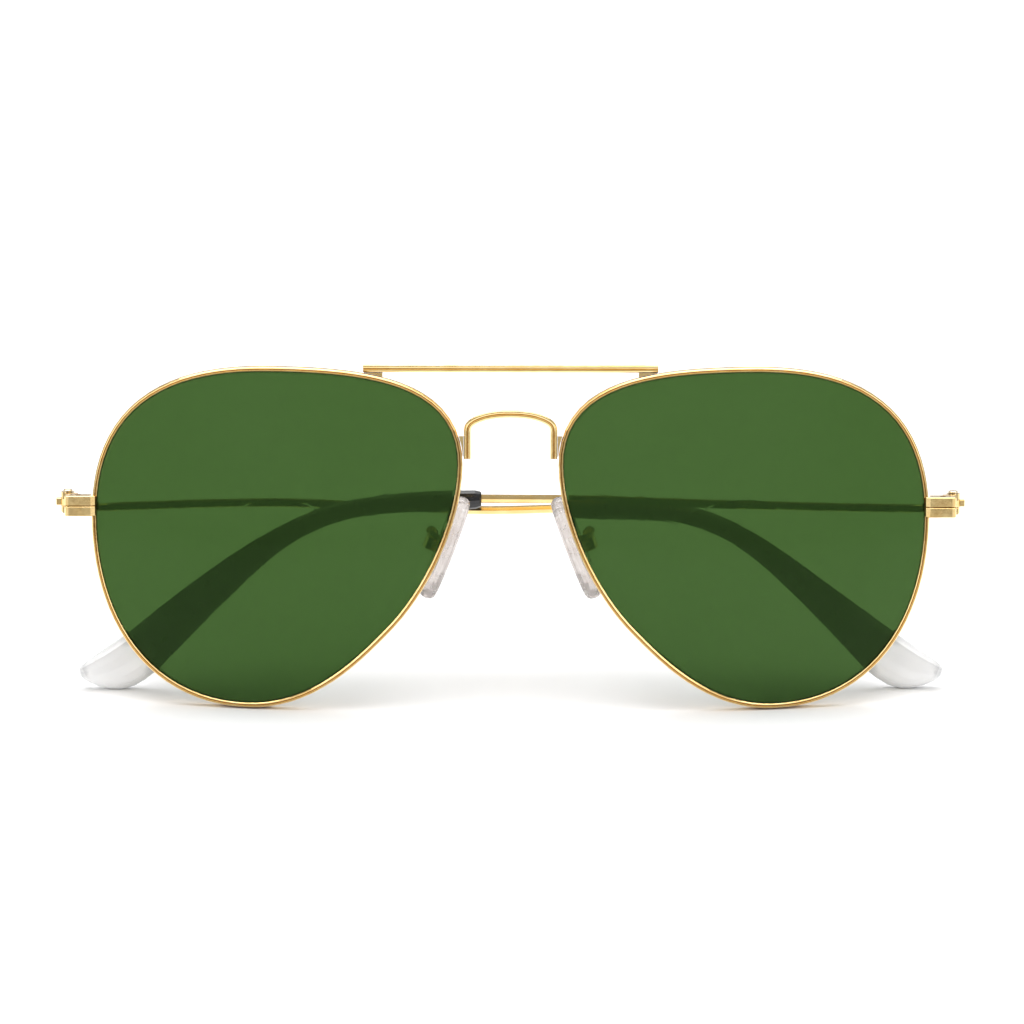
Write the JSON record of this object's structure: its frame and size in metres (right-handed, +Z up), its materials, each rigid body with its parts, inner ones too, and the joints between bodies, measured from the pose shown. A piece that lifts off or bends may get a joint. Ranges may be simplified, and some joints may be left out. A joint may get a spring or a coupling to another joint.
{
  "type": "aviator sunglasses",
  "caption": "Folded aviator sunglasses with a wire front, brow bar, arched bridge, tinted teardrop lenses, rocking nose pads and hinged temples with dark sleeves and pale tips.",
  "frame": {"origin": "centre of the bounding box at ground level: the glasses stand, folded, on the bottoms of both rims and on both temple tips", "axes": "+X to the viewer's right along the front, +Y back through the front towards the folded temples, +Z up"},
  "size_m": [0.1462, 0.0184, 0.0548],
  "materials": {
    "gold": "polished gold plate",
    "steel": "small slotted screws",
    "green_lens": "polished grey-green tint",
    "black_sleeve": "glossy black",
    "white_tip": "glossy pearl white",
    "clear_pad": "clear silicone"
  },
  "bodies": {
    "front": {"brow_bar": "gold", "bridge": "gold", "rim_left": "gold", "lens_left": "green_lens", "bar_solder_left": "gold", "bridge_solder_left": "gold", "endpiece_upper_left": "gold", "endpiece_lower_left": "gold", "rim_screw_left": "steel", "front_hinge_left": "gold", "hinge_screw_left": "steel", "pad_arm_left": "gold", "pad_box_left": "gold", "pad_screw_left": "steel", "rim_right": "gold", "lens_right": "green_lens", "bar_solder_right": "gold", "bridge_solder_right": "gold", "endpiece_upper_right": "gold", "endpiece_lower_right": "gold", "rim_screw_right": "steel", "front_hinge_right": "gold", "hinge_screw_right": "steel", "pad_arm_right": "gold", "pad_box_right": "gold", "pad_screw_right": "steel"},
    "temple_left": {"temple_hinge_left": "gold", "temple_wire_left": "gold", "sleeve_left": "black_sleeve", "tip_end_left": "white_tip"},
    "temple_right": {"temple_hinge_right": "gold", "temple_wire_right": "gold", "sleeve_right": "black_sleeve", "tip_end_right": "white_tip"},
    "pad_left": {"pad_lug_left": "gold", "nose_pad_left": "clear_pad"},
    "pad_right": {"pad_lug_right": "gold", "nose_pad_right": "clear_pad"}
  },
  "joints": [
    {"name": "temple_left_hinge", "type": "hinge", "parent": "front", "child": "temple_left", "pos_m": [-0.0712, 0.00445, 0.03104], "axis": [0, 0.1564, 0.9877], "range_deg": [0, 92]},
    {"name": "temple_right_hinge", "type": "hinge", "parent": "front", "child": "temple_right", "pos_m": [0.0712, 0.00445, 0.03104], "axis": [0, -0.1564, -0.9877], "range_deg": [0, 92]},
    {"name": "pad_left_rock", "type": "hinge", "parent": "front", "child": "pad_left", "pos_m": [-0.01275, -0.00019, 0.0257], "axis": [0.1736, -0.9727, 0.1541], "range_deg": [-12, 12]},
    {"name": "pad_right_rock", "type": "hinge", "parent": "front", "child": "pad_right", "pos_m": [0.01275, -0.00019, 0.0257], "axis": [-0.1736, -0.9727, 0.1541], "range_deg": [-12, 12]}
  ]
}
